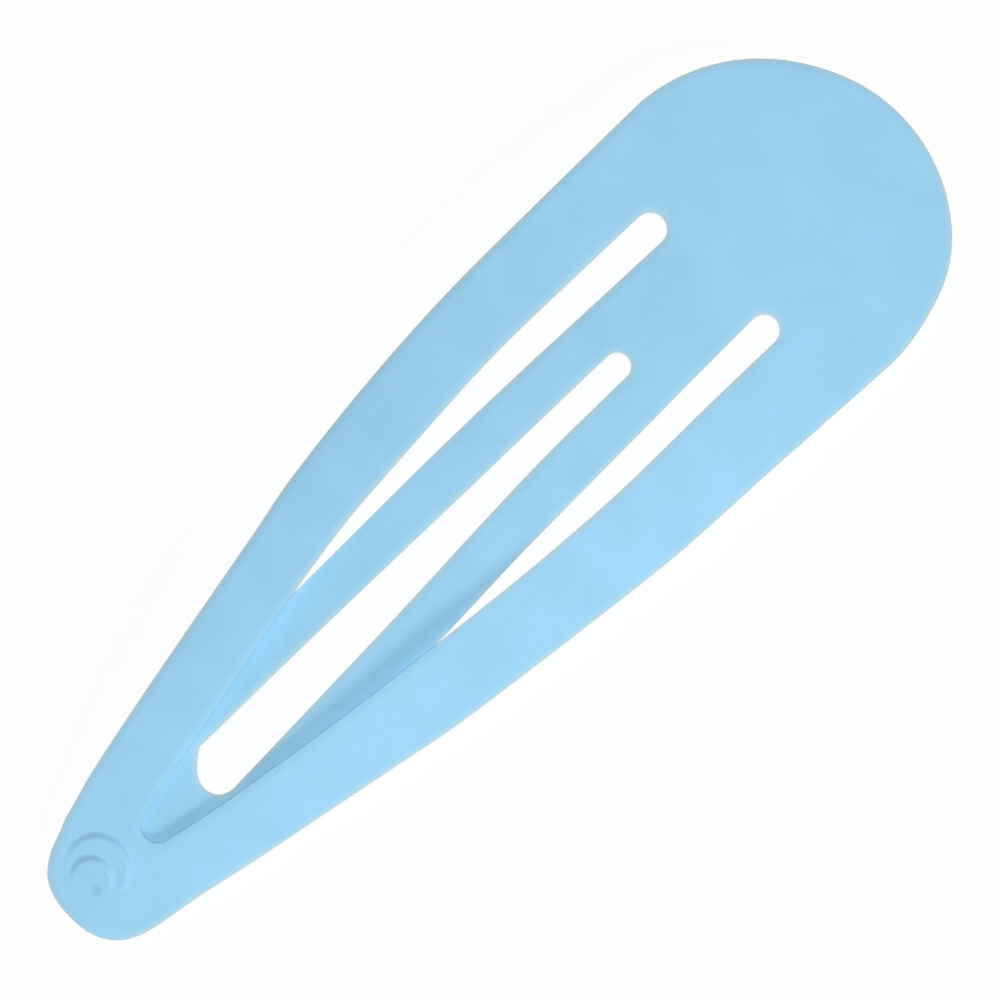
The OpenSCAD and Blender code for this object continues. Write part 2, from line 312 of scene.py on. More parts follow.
# The lapped end: its radius, the distance from the tip at which it is cut off, the radius of its corners, and
# the angle from the clip's axis at which its straight sides start
LAP_RADIUS = 2.9
LAP_EDGE = 3.8
LAP_CORNER = 0.42
LAP_SIDE_ANGLE = 84
# The rivet's shank, and the hole for it in both sheets
SHANK_AT = (1.95, 0.0)
BORE_RADIUS = 0.73


def on_lap(angle):
    """The point of the lapped end's round edge at one angle."""
    return around(TIP_AT, lambda turn: LAP_RADIUS, angle, angle)(0)


legs_outline = outline([
    (along_table(OUTER, LEFT, SEAM_AT, TIP_AT[0]), False),
    (around(TIP_AT, lambda angle: curve_value(TIP, 1, angle), 90, 270), False),
    (along_table(OUTER, RIGHT, TIP_AT[0], SEAM_AT), False),
    (straight(edge_at(OUTER, RIGHT, SEAM_AT), edge_at(INNER, RIGHT, SEAM_AT)), True),
    (along_table(INNER, RIGHT, SEAM_AT, NOTCH_AT[0]), False),
    (around(NOTCH_AT, lambda angle: NOTCH_RADIUS, 270, 90), False),
    (along_table(INNER, LEFT, NOTCH_AT[0], SEAM_AT), False),
    (straight(edge_at(INNER, LEFT, SEAM_AT), edge_at(OUTER, LEFT, SEAM_AT)), True),
])
lap_left = on_lap(LAP_SIDE_ANGLE)
lap_right = on_lap(360 - LAP_SIDE_ANGLE)
right_corner = (LAP_EDGE - LAP_CORNER, lap_right[1] + LAP_CORNER)
left_corner = (LAP_EDGE - LAP_CORNER, lap_left[1] - LAP_CORNER)
lap_outline = outline([
    (around(TIP_AT, lambda angle: LAP_RADIUS, LAP_SIDE_ANGLE, 360 - LAP_SIDE_ANGLE), False),
    (straight(lap_right, (right_corner[0], lap_right[1])), False),
    (around(right_corner, lambda angle: LAP_CORNER, -90, 0), False),
    (straight((LAP_EDGE, right_corner[1]), (LAP_EDGE, left_corner[1])), False),
    (around(left_corner, lambda angle: LAP_CORNER, 0, 90), False),
    (straight((left_corner[0], lap_left[1]), lap_left), False),
])
bore = outline([(around(SHANK_AT, lambda angle: BORE_RADIUS, 360, 0), False)])
print("legs:", len(legs_outline[0]), "points, lapped end:", len(lap_outline[0]), "points")

# %% [markdown]
# ## From outline to punched blank
#
# A punch pulls the sheet down a little as it enters, so the upper edge of a stamping sinks by a few
# hundredths of a millimetre before its corner. This die roll is what catches the light along the edges. A
# Bevel modifier could round the corners, but it would treat both sides alike, leave out the die roll and also
# round the seams. Here the edge is a short profile of its own, swept round each outline: the die roll, a
# small arc, a wall that is torn back a little towards its foot, and a second arc. The flat inside is filled
# by a Delaunay triangulation over an even lattice, so that the sheet has points to bend at wherever the press
# needs them.
#
# A blank lies flat with its upper face at height zero, so the press can read from each point's height how
# deep it lies in the sheet. Each point also stores how thin the paint is there. The spray hardly reaches the
# foot of a wall, and draws back from a bare corner. A corner that lies over another blank isn't bare, because
# that blank shelters it.

# %% The edge profile and the filling of an outline
# Sizes in millimetres: the sunken edge's width and depth, the radius of both corners, how far the wall is
# torn back at its foot, the flat ring inside the edge, and the width of the thin paint
DIE_ROLL = 0.32
DIE_ROLL_DEPTH = 0.055
CORNER = 0.012
UNDERCUT = 0.11
FLAT_MARGIN = 0.04
THIN_PAINT = 0.26
# The sunken edge falls a little slower at first than a straight slope
DIE_ROLL_POWER = 1.3
# The lattice's spacing, and the share of it that stays clear of the outlines
LATTICE = 0.3
LATTICE_CLEARANCE = 0.6
# How many lattice points are measured against the outlines at once
BLOCK = 500
# Points of a triangulation that are closer than this count as one
SAME_POINT = 1e-9
ROLL_STEPS = 4
ARC_STEPS = 4
ARC = [i / ARC_STEPS * math.pi / 2 for i in range(ARC_STEPS + 1)]


def die_roll(draw_back):
    """How deep the upper face has sunk at one distance from the edge."""
    return DIE_ROLL_DEPTH * (1 - draw_back / DIE_ROLL) ** DIE_ROLL_POWER


def edge_profile():
    """How far each ring is drawn back from the outline, and how deep it lies.

    The first and the last ring are on the flat faces, a little inside the others, so that the shading of the
    edge doesn't leak into the flats.
    """
    rings = [(DIE_ROLL + FLAT_MARGIN, 0.0)]
    for draw_back in np.linspace(DIE_ROLL, CORNER, ROLL_STEPS, endpoint=False):
        rings.append((draw_back, die_roll(draw_back)))
    for angle in ARC:
        draw_back = CORNER * (1 - math.sin(angle))
        rings.append((draw_back, die_roll(draw_back) + CORNER * (1 - math.cos(angle))))
    for angle in ARC:
        rings.append((UNDERCUT + CORNER * (1 - math.cos(angle)), SHEET - CORNER * (1 - math.sin(angle))))
    return rings + [(DIE_ROLL + FLAT_MARGIN, SHEET)]


EDGE_PROFILE = edge_profile()


def is_inside(points, loops):
    """Whether each point lies inside the first loop and outside the others."""
    crossings = np.zeros(len(points), int)
    for loop in loops:
        ends = np.roll(loop, -1, axis=0)
        for a, b in zip(loop, ends):
            between = (a[1] > points[:, 1]) != (b[1] > points[:, 1])
            rise = b[1] - a[1] if b[1] != a[1] else 1.0
            meets = points[:, 0] < a[0] + (points[:, 1] - a[1]) * (b[0] - a[0]) / rise
            crossings += between & meets
    return crossings % 2 == 1


def lattice_inside(loops):
    """A triangular lattice of points inside the loops, clear of them."""
    low = loops[0].min(0)
    high = loops[0].max(0)
    row_step = LATTICE * math.sqrt(3) / 2
    rows = []
    for i, y in enumerate(np.arange(low[1], high[1], row_step)):
        x = np.arange(low[0] + LATTICE / 2 * (i % 2), high[0], LATTICE)
        rows.append(np.column_stack([x, np.full(len(x), y)]))
    points = np.vstack(rows)
    points = points[is_inside(points, loops)]
    edge = np.vstack(loops)
    clear = np.ones(len(points), bool)
    for start in range(0, len(points), BLOCK):
        block = points[start : start + BLOCK]
        gaps = np.linalg.norm(block[:, None] - edge[None], axis=2).min(1)
        clear[start : start + BLOCK] = gaps > LATTICE_CLEARANCE * LATTICE
    return points[clear]


def filled(loops):
    """Points and counter-clockwise triangles that fill the loops. The loops' own points come first."""
    inside = lattice_inside(loops)
    points = np.vstack(loops + [inside])
    edges = []
    first = 0
    for loop in loops:
        n = len(loop)
        edges += [(first + i, first + (i + 1) % n) for i in range(n)]
        first += n
    all_triangles = 0
    result = delaunay_2d_cdt([Vector(p) for p in points], edges, [], all_triangles, SAME_POINT)
    assert len(result[0]) == len(points), "the triangulation joined two points"
    triangles = np.array(result[2])
    a, b, c = points[triangles].transpose(1, 0, 2)
    clockwise = (b - a)[:, 0] * (c - a)[:, 1] < (b - a)[:, 1] * (c - a)[:, 0]
    triangles[clockwise] = triangles[clockwise][:, ::-1]
    return points, triangles[is_inside((a + b + c) / 3, loops)]


print("edge profile:", len(EDGE_PROFILE), "rings, filled on a lattice of", LATTICE, "mm")

# %% Build a blank from its outlines
# On a seam the rings of one face fall together, and their points are joined
JOIN_WITHIN = 0.001


def lying_blank(name, points, faces, **marks):
    """A blank as an object. The points are in millimetres from the tip, and a mark is one value for each."""
    mesh = bpy.data.meshes.new(name)
    mesh.from_pydata(((points - [CLIP_LENGTH / 2, 0, 0]) * MM).tolist(), [], faces)
    for mark, values in marks.items():
        mesh.attributes.new(mark, "FLOAT", "POINT").data.foreach_set("value", values.astype(np.float32))
    work = bmesh.new()
    work.from_mesh(mesh)
    bmesh.ops.remove_doubles(work, verts=work.verts, dist=JOIN_WITHIN * MM)
    work.to_mesh(mesh)
    work.free()
    blank = bpy.data.objects.new(name, mesh)
    bpy.context.scene.collection.objects.link(blank)
    print(name, "blank:", len(mesh.vertices), "points,", len(mesh.polygons), "faces")
    return blank


def ring_walls(upper, lower):
    """The quads between two rings of point numbers, the upper one first. Material lies on their left."""
    quads = np.column_stack([upper, lower, np.roll(lower, -1), np.roll(upper, -1)])
    return [tuple(quad) for quad in quads]


def at_height(plan, height):
    """Points of the plan, all at one height."""
    return np.column_stack([plan, np.full(len(plan), height)])


def punched_blank(name, outlines, shelter=()):
    """A flat sheet with rounded edges. The shelter is the points of an outline that it lies over."""
    flat_loops = [points + EDGE_PROFILE[0][0] * inward for points, inward in outlines]
    face, triangles = filled(flat_loops)
    points = [at_height(face, 0.0), at_height(face, -SHEET)]
    edge = [np.zeros(2 * len(face))]
    faces = [tuple(t) for t in triangles] + [tuple(t[::-1] + len(face)) for t in triangles]
    count = 2 * len(face)
    first = 0
    for plan, inward in outlines:
        here = np.arange(len(plan))
        punched = inward.any(axis=1)
        bare = punched & ~is_inside(plan, shelter)
        rings = [here + first]
        for draw_back, depth in EDGE_PROFILE[1:-1]:
            points.append(at_height(plan + draw_back * inward, -depth))
            edge.append(punched if depth > SHEET / 2 else bare * (1 - min(draw_back / THIN_PAINT, 1)))
            rings.append(here + count)
            count += len(plan)
        rings.append(here + first + len(face))
        for upper, lower in zip(rings, rings[1:]):
            faces += ring_walls(upper, lower)
        first += len(plan)
    return lying_blank(name, np.vstack(points), faces, edge=np.concatenate(edge))


head_blank = punched_blank("head_and_tongue", [head_outline, long_slot])
legs_blank = punched_blank("side_legs", [legs_outline, bore], shelter=[head_outline[0]])
lap_blank = punched_blank("lapped_end", [lap_outline, bore])

# %% [markdown]
# ## The rivet
#
# The tip is closed by a small rivet whose head is pressed in two shallow round steps. They aren't
# concentric, and the press was tilted, so both steps stand proud on the side towards the head and run out
# flush on the side towards the tip. A shallow punch mark sits in the upper one, and the shade in it is
# painted into the colour. Paint has rounded everything else.
#
# Because the head follows the curved sheet, the rivet is built flat as well, on a blank that lies flat, and
# the same press that bends the sheet will seat it.

# %% Sizes of the rivet, in millimetres
SHANK_RADIUS = 0.7
FLARE_RADIUS = 1.15
FLARE_THICKNESS = 0.12
LAP_GAP = 0.02
FLARE_GAP = 0.05
# Each step: centre's distance and side, radius, width of its soft edge, height, and the direction in which it
# stands proud, in degrees from the clip's axis
STEPS = [
    ((2.36, 0.31), 1.58, 0.34, 0.25, 4),
    ((1.88, 0.14), 1.07, 0.32, 0.28, 24),
]
# Share of a step's height that its tilt takes away at its centre
STEP_TILT = 0.7
# The punch mark: its place, its radius, the width of its soft wall, and its depth, which is kept shallow
DIMPLE_AT = (1.62, -0.34)
DIMPLE_RADIUS = 0.36
DIMPLE_WALL = 0.22
DIMPLE_DEPTH = 0.02
# The paint's fillet round the head: how far it stands over the sheet, how deep it starts, and its width
FILM = 0.016
FILM_START = 0.004
FILM_WIDTH = 0.3
# How deep the underside of the head is set into the sheet
SEAT_DEPTH = 0.02
# The flared end's edge is cut at 45 degrees, which takes this share of its corner off
CORNER_CUT = 0.3
# The innermost ring of the flared end, as a share of its radius
FLARE_MIDDLE = 0.5
RIVET_SIDES = 96
BUTTON_RINGS = 50


def smooth(u):
    """A soft step from 0 to 1 as u goes from 0 to 1."""
    u = np.clip(u, 0, 1)
    return u * u * (3 - 2 * u)


def in_dimple(points):
    """How far inside the punch mark each point lies, from 0 to 1."""
    from_dimple = np.linalg.norm(points - DIMPLE_AT, axis=1)
    return smooth((DIMPLE_RADIUS - from_dimple) / DIMPLE_WALL)


def button_height(points):
    """How far the rivet's head stands above the sheet at each point of the plan."""
    centre, radius = STEPS[0][:2]
    from_rim = radius - np.linalg.norm(points - centre, axis=1)
    height = FILM * smooth(from_rim / FILM_WIDTH) - FILM_START
    for centre, radius, softness, step_height, proud_side in STEPS:
        turn = math.radians(proud_side)
        away = points - centre
        distance = np.linalg.norm(away, axis=1)
        tilt = 1 - STEP_TILT + STEP_TILT * (away @ [math.cos(turn), math.sin(turn)]) / radius
        height += step_height * np.clip(tilt, 0, 1) * smooth((radius - distance) / softness)
    return height - DIMPLE_DEPTH * in_dimple(points)


print("the steps stand", [step[3] for step in STEPS], "mm proud")

# %% Build the rivet as rings from the middle of its head to the middle of its flared end


def rivet_blank(name):
    """The rivet, standing in a blank that still lies flat."""
    foot_top = -(SHEET + LAP_GAP + SHEET + FLARE_GAP)
    foot = foot_top - FLARE_THICKNESS
    corner = FLARE_THICKNESS / 2
    # Rings under the head: radius and height
    under = [
        (SHANK_RADIUS, -SEAT_DEPTH),
        (SHANK_RADIUS, foot_top),
        (FLARE_RADIUS - corner, foot_top),
        (FLARE_RADIUS - corner * CORNER_CUT, foot_top - corner * CORNER_CUT),
        (FLARE_RADIUS, foot_top - corner),
        (FLARE_RADIUS - corner * CORNER_CUT, foot + corner * CORNER_CUT),
        (FLARE_RADIUS - corner, foot),
        (FLARE_RADIUS * FLARE_MIDDLE, foot),
    ]
    turn = np.linspace(0, 2 * math.pi, RIVET_SIDES, endpoint=False)
    circle = np.column_stack([np.cos(turn), np.sin(turn)])
    middle = np.array(SHANK_AT)
    button_middle, button_radius = STEPS[0][:2]
    rings = []
    for u in np.linspace(0, 1, BUTTON_RINGS + 1)[1:]:
        plan = middle + u * (button_middle - middle) + u * button_radius * circle
        rings.append(np.column_stack([plan, button_height(plan)]))
    rings += [at_height(middle + radius * circle, height) for radius, height in under]
    top = np.append(middle, button_height(middle[None]))
    points = np.vstack(rings + [[top], [np.append(middle, foot)]])
    numbers = np.arange(len(rings) * RIVET_SIDES).reshape(len(rings), RIVET_SIDES)
    faces = [wall for upper, lower in zip(numbers, numbers[1:]) for wall in ring_walls(upper, lower)]
    pole = numbers.size
    faces += [(pole, int(a), int(b)) for a, b in zip(numbers[0], np.roll(numbers[0], -1))]
    faces += [(pole + 1, int(b), int(a)) for a, b in zip(numbers[-1], np.roll(numbers[-1], -1))]
    # Painted shade: how far inside the punch mark each point of the head lies
    pooled = in_dimple(points[:, :2]) * (points[:, 2] > -SEAT_DEPTH)
    return lying_blank(name, points, faces, pooled=pooled)


rivet = rivet_blank("tip_rivet")

# %% [markdown]
# ## The press
#
# The press bends the flat blank to one shape with few numbers: an arch along the clip, a roll down to both
# sides, and a tongue that leaves the head along the arch and bends down under the legs. A shape that follows
# a rule like this suits Geometry Nodes, because the rule becomes a tree whose inputs are the sizes of the
# press, and every blank goes through the same tree.
#
# The inner group gives the height of the sheet over any place of the plan. The outer one asks it for three
# places side by side, which gives the direction that faces out of the sheet, and then lays each point along
# that direction by its height in the flat blank. So the punched edges stay square to the sheet, as on a real
# pressing.

# %% One helper that adds a node


def add_node(tree, kind, inputs=(), **settings):
    """Adds a node with its settings.

    The inputs are listed in order, or named in a dictionary. Each one is a value, a socket to link, or a node
    whose first output is linked. Only the sockets that the settings leave in use are counted.
    """
    node = tree.nodes.new(kind)
    for name, value in settings.items():
        setattr(node, name, value)
    sockets = [socket for socket in node.inputs if socket.enabled]
    if isinstance(inputs, dict):
        named = {socket.name: socket for socket in sockets}
        pairs = [(named[name], value) for name, value in inputs.items()]
    else:
        pairs = zip(sockets, inputs)
    for socket, value in pairs:
        if isinstance(value, bpy.types.Node):
            value = next(output for output in value.outputs if output.enabled)
        if isinstance(value, bpy.types.NodeSocket):
            tree.links.new(value, socket)
        else:
            socket.default_value = value
    return node


# %% [markdown]
# The first tree is a formula. With x along the clip and y across it, the sheet lies under its crown by
# (x - crown)^2 / 2R for the arch of radius R, and by k(x) y^2 / 2 for the roll of curvature k. Both are kept
# doubled until the last node halves their sum. The tongue adds a term of its own past its root.

# %% The height of the pressed sheet over one place of the plan
# Curvature of the roll across the clip, per millimetre, by the distance from the tip
ROLL = [(0, 0.042), (12, 0.045), (24, 0.042), (38, 0.021), (50, 0.010)]
# A curve node's values run from 0 to 1, and 1 stands for this curvature
ROLL_SCALE = 0.05
PRESS_SIZES = [
    "Crown height",
    "Crown place",
    "Arch radius",
    "Tongue root",
    "Sinking length",
    "Sinking",
    "Tongue length",
    "Rising",
]
FLOAT = "NodeSocketFloat"
MATH = "ShaderNodeMath"


def new_tree(name, inputs, outputs):
    """A Geometry Nodes tree with named sockets, its input sockets and its output node."""
    tree = bpy.data.node_groups.new(name, "GeometryNodeTree")
    for label, kind in inputs.items():
        tree.interface.new_socket(label, in_out="INPUT", socket_type=kind)
    for label, kind in outputs.items():
        tree.interface.new_socket(label, in_out="OUTPUT", socket_type=kind)
    return tree, tree.nodes.new("NodeGroupInput").outputs, tree.nodes.new("NodeGroupOutput")


formula, size, formula_end = new_tree(
    "Height of the pressed sheet",
    dict.fromkeys(["Along", "Across", *PRESS_SIZES], FLOAT),
    {"Height": FLOAT},
)
from_crown = add_node(formula, MATH, [size["Along"], size["Crown place"]], operation="SUBTRACT")
arch = add_node(formula, MATH, [from_crown, from_crown], operation="MULTIPLY")
arch = add_node(formula, MATH, [arch, size["Arch radius"]], operation="DIVIDE")

share = add_node(formula, MATH, [size["Along"], 1 / (CLIP_LENGTH * MM), 0.5], operation="MULTIPLY_ADD")
roll_curve = add_node(formula, "ShaderNodeFloatCurve", {"Value": share})
curve_points = roll_curve.mapping.curves[0].points
for distance, curvature in ROLL[1:-1]:
    curve_points.new(distance / CLIP_LENGTH, curvature / ROLL_SCALE)
for point, (distance, curvature) in zip(curve_points, ROLL):
    point.location = (distance / CLIP_LENGTH, curvature / ROLL_SCALE)
roll_curve.mapping.update()
curvature = add_node(formula, MATH, [roll_curve, ROLL_SCALE / MM], operation="MULTIPLY")
across = add_node(formula, MATH, [size["Across"], size["Across"]], operation="MULTIPLY")
roll = add_node(formula, MATH, [curvature, across], operation="MULTIPLY")
print(len(curve_points), "points on the roll's curve")

# %% The tongue's own term
# Past its root the tongue sinks under the arch in one soft S, and then rises towards the legs in another
RANGE = "ShaderNodeMapRange"
past_root = add_node(formula, MATH, [size["Tongue root"], size["Along"]], operation="SUBTRACT")
soft_step = {"interpolation_type": "SMOOTHSTEP"}
sunk = add_node(formula, RANGE, [past_root, 0.0, size["Sinking length"], 0.0, size["Sinking"]], **soft_step)
rising_part = [past_root, size["Sinking length"], size["Tongue length"]]
risen = add_node(formula, RANGE, [*rising_part, 0.0, size["Rising"]], **soft_step)

fall = add_node(formula, MATH, [arch, roll], operation="ADD")
height = add_node(formula, MATH, [fall, -0.5, size["Crown height"]], operation="MULTIPLY_ADD")
height = add_node(formula, MATH, [height, sunk], operation="SUBTRACT")
height = add_node(formula, MATH, [height, risen], operation="ADD")
formula.links.new(height.outputs[0], formula_end.inputs["Height"])
print(formula.name, "is a tree of", len(formula.nodes), "nodes")

# %% [markdown]
# The second tree is the press itself. Its inputs are sizes that a toolmaker would know. "Below" lowers a
# piece under the sheet that it follows, such as the leg end that is lapped under the tip.

# %% The press
# How far apart the three places are
PROBE = 0.05 * MM

press, size, press_end = new_tree(
    "Press to shape",
    {"Blank": "NodeSocketGeometry", **dict.fromkeys(PRESS_SIZES, FLOAT)}
    | {"Sheet": FLOAT, "Below": FLOAT, "Paint": "NodeSocketMaterial"},
    {"Pressed": "NodeSocketGeometry"},
)
place = add_node(press, "GeometryNodeInputPosition")
axes = add_node(press, "ShaderNodeSeparateXYZ", [place])
heights = []
for probe_along, probe_across in ((0, 0), (PROBE, 0), (0, PROBE)):
    probe_x = add_node(press, MATH, [axes.outputs["X"], probe_along], operation="ADD")
    probe_y = add_node(press, MATH, [axes.outputs["Y"], probe_across], operation="ADD")
    sources = [probe_x, probe_y] + [size[name] for name in PRESS_SIZES]
    heights.append(add_node(press, "GeometryNodeGroup", sources, node_tree=formula))
slope_along = add_node(press, MATH, heights[:2], operation="SUBTRACT")
slope_across = add_node(press, MATH, [heights[0], heights[2]], operation="SUBTRACT")
facing = add_node(press, "ShaderNodeCombineXYZ", [slope_along, slope_across, PROBE])
facing = add_node(press, "ShaderNodeVectorMath", [facing], operation="NORMALIZE")
middle = add_node(press, "ShaderNodeCombineXYZ", [axes.outputs["X"], axes.outputs["Y"], heights[0]])
# The upper face of the flat blank, at height zero, lies half a sheet over the middle of the sheet
lift = add_node(press, MATH, [size["Sheet"], 0.5, axes.outputs["Z"]], operation="MULTIPLY_ADD")
lift = add_node(press, MATH, [lift, size["Below"]], operation="SUBTRACT")
lift = add_node(press, "ShaderNodeVectorMath", [facing, lift], operation="SCALE")
laid = add_node(press, "ShaderNodeVectorMath", [middle, lift], operation="ADD")
pressed = add_node(press, "GeometryNodeSetPosition", {"Geometry": size["Blank"], "Position": laid})
pressed = add_node(press, "GeometryNodeRealizeInstances", [pressed])
pressed = add_node(press, "GeometryNodeSetMaterial", {"Geometry": pressed, "Material": size["Paint"]})
press.links.new(pressed.outputs[0], press_end.inputs["Pressed"])
print(press.name, "is a tree of", len(press.nodes), "nodes")

# %% The sizes of the press, in millimetres
ARCH_RADIUS = 87.0
SINKING_LENGTH = 17.5
SINKING = 0.95
TONGUE_GAP = 0.06
# The clip lies on its rim at this angle, and on the lapped end
TOUCH_ANGLE = -8


def lengthened(slope):
    """How much longer a vertical line through the sheet is than its thickness."""
    return math.sqrt(1 + slope**2)


def along(distance):
    """From a distance from the tip to the model's own x, whose zero is in the middle of the clip."""
    return distance - CLIP_LENGTH / 2


# The lapped end is packed in under the tip, so the crown of the arch is a little nearer the tip than the head
head_end = along(CLIP_LENGTH)
lap_end = along(TIP_AT[0] - LAP_RADIUS)
packed = (SHEET + LAP_GAP) * lengthened(head_end / ARCH_RADIUS)
crown_place = (head_end + lap_end) / 2 - ARCH_RADIUS * packed / (head_end - lap_end)
touch_distance, touch_side = around(HEAD_AT, lambda angle: curve_value(RIM, 1, angle), TOUCH_ANGLE, 0)(0)
touch_roll = curve_value(ROLL, 1, touch_distance) * touch_side**2 / 2
rim_slope = (crown_place - head_end) / ARCH_RADIUS
crown_height = (along(touch_distance) - crown_place) ** 2 / (2 * ARCH_RADIUS) + touch_roll
crown_height += SHEET / 2 * lengthened(rim_slope)

tongue_root = along(LEFT_SLOT_TOP)
tongue_length = tongue_root - along(TONGUE_END)
free_slope = (crown_place - along(TONGUE_END)) / ARCH_RADIUS
rising = SINKING - (SHEET + TONGUE_GAP) * lengthened(free_slope)
print("the crown stands", round(crown_height, 2), "mm high, at x =", round(crown_place, 2), "mm")

# %% [markdown]
# ## Paint on spring steel
#
# The clip is sprayed with a pastel blue enamel and baked. Enamel on a stamping is satin, not glossy: it has a
# fine orange peel, dust nibs too small to feel, and hairlines from the tumbling drum. Sprayed paint also
# draws back from a sharp edge as it dries, so the punched edges are a little greyer. Shade is painted in as
# well: the tongue, which lies lower between the legs, is made a little darker, and so is the punch mark in
# the rivet. None of this stands up by more than a few thousandths of a millimetre, so the whole finish is in
# one material. Its patterns are in Object coordinates, in metres, and each scale comes from a real size.

# %% Colours and sizes of the finish
PAINT_BLUE = "#9BD1F2"
PAINT_DEEP = "#96CDEC"
PAINT_THIN = "#B6CFD6"
# Painted shade in the punch mark
PUNCH_MARK_SHADE = "#8EC3E4"
NIB_BLUE = "#B0DEF6"
HAIRLINE_BLUE = "#95CCEE"
WHITE = (1.0, 1.0, 1.0, 1.0)
# Painted shade on the tongue between the legs: the share of its colour that is kept, in red, green and blue
PAINTED_TONGUE_SHADE = (0.945, 0.963, 0.95, 1.0)
# Sizes in millimetres
CLOUD = 2.6
GLOSS_CLOUD = CLOUD / 4
ORANGE_PEEL = 0.45
ORANGE_PEEL_HEIGHT = 0.0022
NIB_SPACING = 1.7
NIB_RADIUS = 0.04
HAIRLINE_LENGTH = 2.2
HAIRLINE_SPACING = 0.2
WORN_LENGTH = 1.5
# Values of the noise between which a pattern goes from none to full
CLOUD_FADE = (0.35, 0.65)
HAIRLINE_FADE = (0.72, 0.78)
WORN_FADE = (0.2, 0.6)
GLOSS_FADE = (0.3, 0.7)
# Directions of the hairlines, in degrees
HAIRLINE_TURNS = (25, 140)
# The least and the most of the thin paint that shows at an edge, and of the enamel's roughness
WORN_SHARE = (0.3, 1.0)
SATIN_ROUGHNESS = (0.64, 0.74)
ENAMEL_IOR = 1.45


def linear(hex_colour):
    """A Blender colour from an sRGB hex value."""
    values = [int(hex_colour[i : i + 2], 16) / 255 for i in (1, 3, 5)]
    return tuple(v / 12.92 if v <= 0.04045 else ((v + 0.055) / 1.055) ** 2.4 for v in values) + (1.0,)


def per_metre(millimetres):
    """The scale of a pattern whose features are this far apart."""
    return 1 / (millimetres * MM)


print("paint:", [round(v, 3) for v in linear(PAINT_BLUE)[:3]])

# %% Mark where the tongue gets painted shade
# Where it fades out, in millimetres: distances from the tip, and from the clip's axis
BEHIND_ALONG = (41.0, 37.0)
BEHIND_ACROSS = (3.9, 2.4)


def mark_tongue_shade(blank):
    """Stores how far each point of a flat blank lies behind the legs, from 0 to 1, for painted shade."""
    place = np.empty(3 * len(blank.data.vertices), np.float32)
    blank.data.vertices.foreach_get("co", place)
    x, y = place.reshape(-1, 3)[:, :2].T / MM
    outer, inner = BEHIND_ALONG
    behind = smooth((outer - CLIP_LENGTH / 2 - x) / (outer - inner))
    outer, inner = BEHIND_ACROSS
    behind *= smooth((outer - np.abs(y)) / (outer - inner))
    mark = blank.data.attributes.new("behind", "FLOAT", "POINT")
    mark.data.foreach_set("value", behind.astype(np.float32))
    print(blank.name, "has", int((behind > 0.5).sum()), "points behind the legs")


mark_tongue_shade(head_blank)

# %% The enamel's colour
paint = bpy.data.materials.new("pastel_blue_baked_enamel")
paint.use_nodes = True
enamel = paint.node_tree
enamel.nodes.clear()
where = add_node(enamel, "ShaderNodeTexCoord").outputs["Object"]
NOISE = "ShaderNodeTexNoise"
MIX = "ShaderNodeMix"

# Clouds where two passes of the spray overlap
cloud = add_node(enamel, NOISE, {"Vector": where, "Scale": per_metre(CLOUD), "Detail": 4.0})
cloud = add_node(enamel, RANGE, [cloud, *CLOUD_FADE])
colour = add_node(enamel, MIX, [cloud, linear(PAINT_BLUE), linear(PAINT_DEEP)], data_type="RGBA")
# Painted shade: the tongue, which lies lower between the legs, is made darker
behind = add_node(enamel, "ShaderNodeAttribute", attribute_name="behind").outputs["Fac"]
tongue_shade_colour = add_node(enamel, MIX, [behind, WHITE, PAINTED_TONGUE_SHADE], data_type="RGBA")
colour = add_node(enamel, MIX, [1.0, colour, tongue_shade_colour], data_type="RGBA", blend_type="MULTIPLY")

# Dust nibs under the paint, which catch a thinner and lighter coat
nib = add_node(enamel, "ShaderNodeTexVoronoi", {"Vector": where, "Scale": per_metre(NIB_SPACING)})
nib_share = NIB_RADIUS / NIB_SPACING
nib = add_node(enamel, RANGE, [nib, nib_share, nib_share / 2])
colour = add_node(enamel, MIX, [nib, colour, linear(NIB_BLUE)], data_type="RGBA")
print("a nib every", NIB_SPACING, "mm")

# %% Hairlines, thin paint at the punched edges, and painted shade in the punch mark
# The noise is stretched along the hairlines, and only its peaks show
hairlines = None
for turn in HAIRLINE_TURNS:
    laid_out = add_node(
        enamel,
        "ShaderNodeMapping",
        {
            "Vector": where,
            "Rotation": (0, 0, math.radians(turn)),
            "Scale": (per_metre(HAIRLINE_LENGTH), per_metre(HAIRLINE_SPACING), per_metre(HAIRLINE_LENGTH)),
        },
    )
    strokes = add_node(enamel, NOISE, {"Vector": laid_out, "Scale": 1.0, "Detail": 1.0})
    strokes = add_node(enamel, RANGE, [strokes, *HAIRLINE_FADE])
    if hairlines:
        strokes = add_node(enamel, MATH, [strokes, hairlines], operation="MAXIMUM")
    hairlines = strokes
colour = add_node(enamel, MIX, [hairlines, colour, linear(HAIRLINE_BLUE)], data_type="RGBA")

edge = add_node(enamel, "ShaderNodeAttribute", attribute_name="edge").outputs["Fac"]
worn = add_node(enamel, NOISE, {"Vector": where, "Scale": per_metre(WORN_LENGTH), "Detail": 2.0})
worn = add_node(enamel, RANGE, [worn, *WORN_FADE, *WORN_SHARE])
thin = add_node(enamel, MATH, [edge, worn], operation="MULTIPLY")
colour = add_node(enamel, MIX, [thin, colour, linear(PAINT_THIN)], data_type="RGBA")
# Painted shade: the punch mark is made darker
pooled = add_node(enamel, "ShaderNodeAttribute", attribute_name="pooled").outputs["Fac"]
colour = add_node(enamel, MIX, [pooled, colour, linear(PUNCH_MARK_SHADE)], data_type="RGBA")
print(len(enamel.nodes), "nodes so far")

